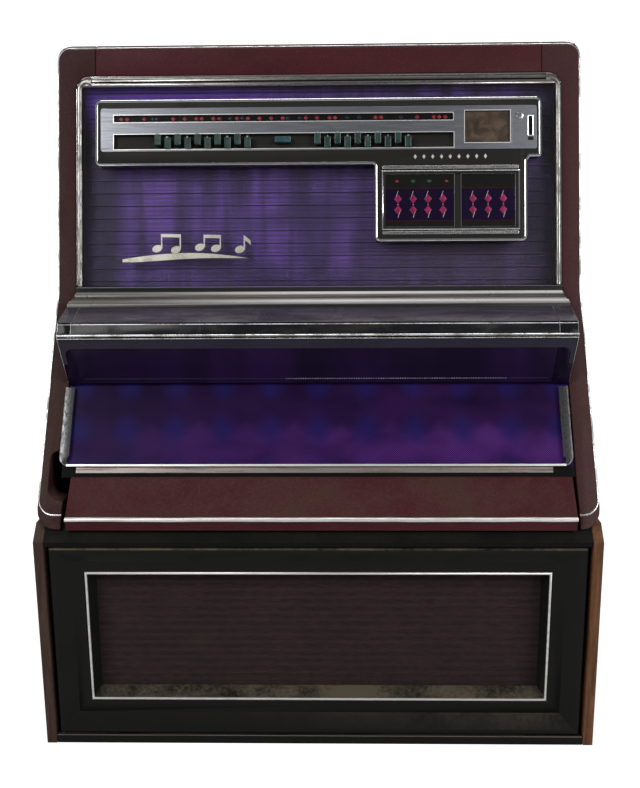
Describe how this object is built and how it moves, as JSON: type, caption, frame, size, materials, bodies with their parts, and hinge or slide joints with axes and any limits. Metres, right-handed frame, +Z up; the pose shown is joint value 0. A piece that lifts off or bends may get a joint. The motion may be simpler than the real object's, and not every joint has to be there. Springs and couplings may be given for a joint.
{
  "type": "jukebox",
  "caption": "Floor-standing console jukebox with lifting front, selector keys, coin slot, grille door and a turning record magazine with turntable inside.",
  "frame": {"origin": "on the floor, at the middle of the bounding box's underside", "axes": "+X to the right seen from the front, +Y to the back, +Z up, with the front facing -Y"},
  "size_m": [1.036, 0.66, 1.307],
  "materials": {
    "walnut": "satin walnut veneer",
    "black_paint": "satin black paint on board",
    "plywood": "raw plywood",
    "hardboard": "raw hardboard",
    "grey_steel": "plain zinc plate",
    "black_vinyl": "black vinyl over board",
    "maroon_enamel": "speckled maroon enamel on castings",
    "chrome": "bright plate",
    "purple_title_plastic": "satin purple sheet",
    "clear_glass": "clear sheet",
    "bright_aluminium": "bright anodised extrusion",
    "smoked_plastic": "smoked acrylic",
    "violet_display_sheet": "dark violet printed sheet",
    "black_plastic": "satin black moulding",
    "brushed_steel": "lengthwise brushed plate",
    "coin_plate_metal": "brushed plate",
    "display_plastic": "dark lens",
    "teal_key_plastic": "teal moulding",
    "green_key_plastic": "dark green moulding",
    "button_chrome": "bright plate",
    "black_moulding": "black lacquered moulding",
    "grille_cloth": "woven grille cloth over board",
    "speaker_black": "loudspeaker, cone and pressed basket",
    "mechanism_aluminium": "satin cast metal",
    "magazine_black": "black magazine and discs",
    "grey_enamel": "grey enamel housings",
    "cash_steel": "zinc plated box"
  },
  "bodies": {
    "cabinet": {"side_panel_left": "walnut", "side_panel_right": "walnut", "plinth_board": "black_paint", "base_top_rail": "black_paint", "floor_board": "plywood", "mechanism_shelf": "plywood", "back_panel": "hardboard", "lid_hinge": "grey_steel", "mechanism_column": "mechanism_aluminium", "amplifier": "grey_enamel", "coin_acceptor": "grey_enamel"},
    "lid": {"roof_panel": "black_vinyl", "side_casting_left": "maroon_enamel", "side_casting_right": "maroon_enamel", "frame_top_rail": "maroon_enamel", "frame_bottom_rail": "maroon_enamel", "bezel_top": "chrome", "title_panel": "purple_title_plastic", "title_glass": "clear_glass", "ledge_extrusion": "bright_aluminium", "ledge_shelf": "smoked_plastic", "ledge_end_left": "smoked_plastic", "ledge_end_right": "smoked_plastic", "visor_glass": "smoked_plastic", "display_panel": "violet_display_sheet", "control_housing": "black_plastic", "control_fascia": "brushed_steel", "coin_block": "coin_plate_metal", "credit_display": "display_plastic"},
    "grille_door": {"grille_door_frame": "black_moulding", "grille_panel": "grille_cloth", "woofer_left": "speaker_black", "woofer_right": "speaker_black"},
    "record_carousel": {"record_carousel": "magazine_black"},
    "turntable_platter": {"turntable_platter": "mechanism_aluminium"},
    "tonearm": {"tonearm": "mechanism_aluminium"},
    "transfer_arm": {"transfer_arm": "mechanism_aluminium"},
    "cash_box": {"cash_box": "cash_steel"},
    "selector_key_01": {"selector_key_01": "green_key_plastic"},
    "selector_key_02": {"selector_key_02": "green_key_plastic"},
    "selector_key_03": {"selector_key_03": "green_key_plastic"},
    "selector_key_04": {"selector_key_04": "green_key_plastic"},
    "selector_key_05": {"selector_key_05": "green_key_plastic"},
    "selector_key_06": {"selector_key_06": "green_key_plastic"},
    "selector_key_07": {"selector_key_07": "green_key_plastic"},
    "selector_key_08": {"selector_key_08": "green_key_plastic"},
    "selector_key_09": {"selector_key_09": "green_key_plastic"},
    "selector_key_10": {"selector_key_10": "green_key_plastic"},
    "selector_key_11": {"selector_key_11": "green_key_plastic"},
    "selector_key_12": {"selector_key_12": "green_key_plastic"},
    "selector_key_13": {"selector_key_13": "green_key_plastic"},
    "selector_key_14": {"selector_key_14": "green_key_plastic"},
    "selector_key_15": {"selector_key_15": "green_key_plastic"},
    "selector_key_16": {"selector_key_16": "green_key_plastic"},
    "selector_key_17": {"selector_key_17": "green_key_plastic"},
    "selector_key_18": {"selector_key_18": "green_key_plastic"},
    "selector_key_19": {"selector_key_19": "green_key_plastic"},
    "selector_key_20": {"selector_key_20": "green_key_plastic"},
    "reset_key": {"reset_key": "teal_key_plastic"},
    "reject_button": {"reject_button": "button_chrome"}
  },
  "joints": [
    {"name": "lid_hinge_joint", "type": "hinge", "parent": "cabinet", "child": "lid", "pos_m": [0, 0.3245, 1.2975], "axis": [-1, 0, 0], "range_deg": [0, 48]},
    {"name": "grille_door_hinge", "type": "hinge", "parent": "cabinet", "child": "grille_door", "pos_m": [-0.486, -0.325, 0.2], "axis": [0, 0, -1], "range_deg": [0, 95]},
    {"name": "carousel_turn", "type": "hinge", "parent": "cabinet", "child": "record_carousel", "pos_m": [0, 0.07, 0.5], "axis": [0, 0, 1], "continuous": true},
    {"name": "platter_turn", "type": "hinge", "parent": "cabinet", "child": "turntable_platter", "pos_m": [-0.05, 0.055, 0.74], "axis": [0, 0, -1], "continuous": true},
    {"name": "tonearm_swing", "type": "hinge", "parent": "cabinet", "child": "tonearm", "pos_m": [0.115, 0.1, 0.77], "axis": [0, 0, -1], "range_deg": [0, 56]},
    {"name": "transfer_arm_lift", "type": "hinge", "parent": "cabinet", "child": "transfer_arm", "pos_m": [0, 0.204, 0.8], "axis": [1, 0, 0], "range_deg": [0, 100]},
    {"name": "cash_box_slide", "type": "slide", "parent": "cabinet", "child": "cash_box", "axis": [0, -1, 0], "range_m": [0, 0.12]},
    {"name": "selector_key_01_press", "type": "slide", "parent": "lid", "child": "selector_key_01", "axis": [0, 0.9744, -0.225], "range_m": [0, 0.0025], "stiffness_N_per_m": 250},
    {"name": "selector_key_02_press", "type": "slide", "parent": "lid", "child": "selector_key_02", "axis": [0, 0.9744, -0.225], "range_m": [0, 0.0025], "stiffness_N_per_m": 250},
    {"name": "selector_key_03_press", "type": "slide", "parent": "lid", "child": "selector_key_03", "axis": [0, 0.9744, -0.225], "range_m": [0, 0.0025], "stiffness_N_per_m": 250},
    {"name": "selector_key_04_press", "type": "slide", "parent": "lid", "child": "selector_key_04", "axis": [0, 0.9744, -0.225], "range_m": [0, 0.0025], "stiffness_N_per_m": 250},
    {"name": "selector_key_05_press", "type": "slide", "parent": "lid", "child": "selector_key_05", "axis": [0, 0.9744, -0.225], "range_m": [0, 0.0025], "stiffness_N_per_m": 250},
    {"name": "selector_key_06_press", "type": "slide", "parent": "lid", "child": "selector_key_06", "axis": [0, 0.9744, -0.225], "range_m": [0, 0.0025], "stiffness_N_per_m": 250},
    {"name": "selector_key_07_press", "type": "slide", "parent": "lid", "child": "selector_key_07", "axis": [0, 0.9744, -0.225], "range_m": [0, 0.0025], "stiffness_N_per_m": 250},
    {"name": "selector_key_08_press", "type": "slide", "parent": "lid", "child": "selector_key_08", "axis": [0, 0.9744, -0.225], "range_m": [0, 0.0025], "stiffness_N_per_m": 250},
    {"name": "selector_key_09_press", "type": "slide", "parent": "lid", "child": "selector_key_09", "axis": [0, 0.9744, -0.225], "range_m": [0, 0.0025], "stiffness_N_per_m": 250},
    {"name": "selector_key_10_press", "type": "slide", "parent": "lid", "child": "selector_key_10", "axis": [0, 0.9744, -0.225], "range_m": [0, 0.0025], "stiffness_N_per_m": 250},
    {"name": "selector_key_11_press", "type": "slide", "parent": "lid", "child": "selector_key_11", "axis": [0, 0.9744, -0.225], "range_m": [0, 0.0025], "stiffness_N_per_m": 250},
    {"name": "selector_key_12_press", "type": "slide", "parent": "lid", "child": "selector_key_12", "axis": [0, 0.9744, -0.225], "range_m": [0, 0.0025], "stiffness_N_per_m": 250},
    {"name": "selector_key_13_press", "type": "slide", "parent": "lid", "child": "selector_key_13", "axis": [0, 0.9744, -0.225], "range_m": [0, 0.0025], "stiffness_N_per_m": 250},
    {"name": "selector_key_14_press", "type": "slide", "parent": "lid", "child": "selector_key_14", "axis": [0, 0.9744, -0.225], "range_m": [0, 0.0025], "stiffness_N_per_m": 250},
    {"name": "selector_key_15_press", "type": "slide", "parent": "lid", "child": "selector_key_15", "axis": [0, 0.9744, -0.225], "range_m": [0, 0.0025], "stiffness_N_per_m": 250},
    {"name": "selector_key_16_press", "type": "slide", "parent": "lid", "child": "selector_key_16", "axis": [0, 0.9744, -0.225], "range_m": [0, 0.0025], "stiffness_N_per_m": 250},
    {"name": "selector_key_17_press", "type": "slide", "parent": "lid", "child": "selector_key_17", "axis": [0, 0.9744, -0.225], "range_m": [0, 0.0025], "stiffness_N_per_m": 250},
    {"name": "selector_key_18_press", "type": "slide", "parent": "lid", "child": "selector_key_18", "axis": [0, 0.9744, -0.225], "range_m": [0, 0.0025], "stiffness_N_per_m": 250},
    {"name": "selector_key_19_press", "type": "slide", "parent": "lid", "child": "selector_key_19", "axis": [0, 0.9744, -0.225], "range_m": [0, 0.0025], "stiffness_N_per_m": 250},
    {"name": "selector_key_20_press", "type": "slide", "parent": "lid", "child": "selector_key_20", "axis": [0, 0.9744, -0.225], "range_m": [0, 0.0025], "stiffness_N_per_m": 250},
    {"name": "reset_key_press", "type": "slide", "parent": "lid", "child": "reset_key", "axis": [0, 0.9744, -0.225], "range_m": [0, 0.0025], "stiffness_N_per_m": 250},
    {"name": "reject_button_press", "type": "slide", "parent": "lid", "child": "reject_button", "axis": [0, 0.9744, -0.225], "range_m": [0, 0.003], "stiffness_N_per_m": 250}
  ]
}
